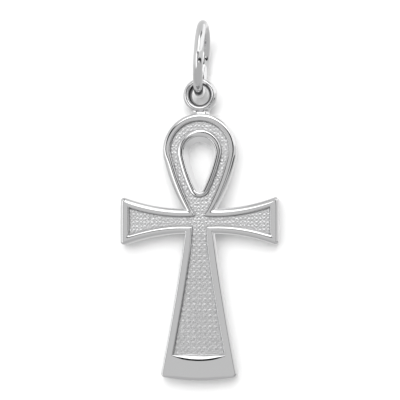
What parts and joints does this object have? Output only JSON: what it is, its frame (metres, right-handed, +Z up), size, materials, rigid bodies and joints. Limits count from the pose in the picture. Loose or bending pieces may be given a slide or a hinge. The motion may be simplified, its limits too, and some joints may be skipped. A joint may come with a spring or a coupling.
{
  "type": "ankh pendant",
  "caption": "Ankh pendant with raised rims round a sunk, pebbled field and an open teardrop loop, hung by its eyelet from a plain wire bail ring.",
  "frame": {"origin": "where a chain bears, inside the top of the bail ring", "axes": "+Z up, the ankh's front faces -Y, +X to the right as seen from the front"},
  "size_m": [0.0122, 0.006, 0.0281],
  "materials": {
    "ankh_metal": "polished rims round a finely pebbled, sunk field; white precious metal",
    "bail_metal": "polished round wire; white precious metal"
  },
  "bodies": {
    "bail": {"bail_ring": "bail_metal"},
    "ankh": {"ankh": "ankh_metal"}
  },
  "joints": [
    {"name": "ankh_swing", "type": "hinge", "parent": "bail", "child": "ankh", "pos_m": [-0.00028, 0, -0.00497], "axis": [0, 1, 0], "range_deg": [-60, 60]}
  ]
}
